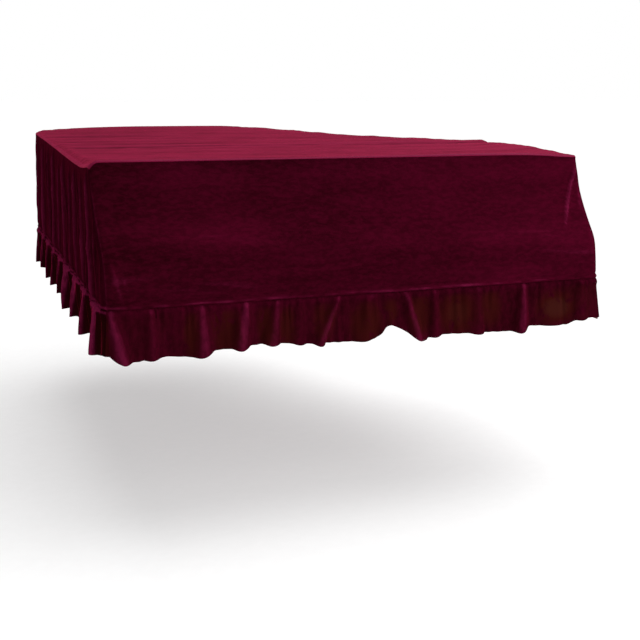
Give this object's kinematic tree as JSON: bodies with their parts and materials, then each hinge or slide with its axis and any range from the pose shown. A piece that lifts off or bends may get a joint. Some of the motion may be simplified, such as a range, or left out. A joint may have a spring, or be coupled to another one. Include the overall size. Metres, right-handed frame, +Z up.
{
  "type": "piano cover",
  "caption": "Fitted velvet dust cover for a grand piano: flat top cut to the lid's plan, side panels that hang over the case and keyboard, and a gathered frill.",
  "frame": {"origin": "under the cloth of the top, halfway along the lid and halfway across it, where the cover lies on the piano", "axes": "+Z up, +X along the keyboard towards the treble end, +Y from the keyboard to the tail"},
  "size_m": [1.6085, 2.052, 0.5196],
  "materials": {
    "top_velvet": "plain crimson velvet, matte with a soft sheen",
    "side_velvet": "plain wine red velvet, matte with a soft sheen",
    "frill_velvet": "plain wine red velvet, gathered, matte with a soft sheen"
  },
  "bodies": {
    "root": {"top_panel": "top_velvet", "front_panel": "side_velvet", "front_frill": "frill_velvet", "cheek_panel": "side_velvet", "cheek_frill": "frill_velvet", "bentside_panel": "side_velvet", "bentside_frill": "frill_velvet", "tail_panel": "side_velvet", "tail_frill": "frill_velvet", "spine_panel": "side_velvet", "spine_frill": "frill_velvet"}
  },
  "joints": []
}
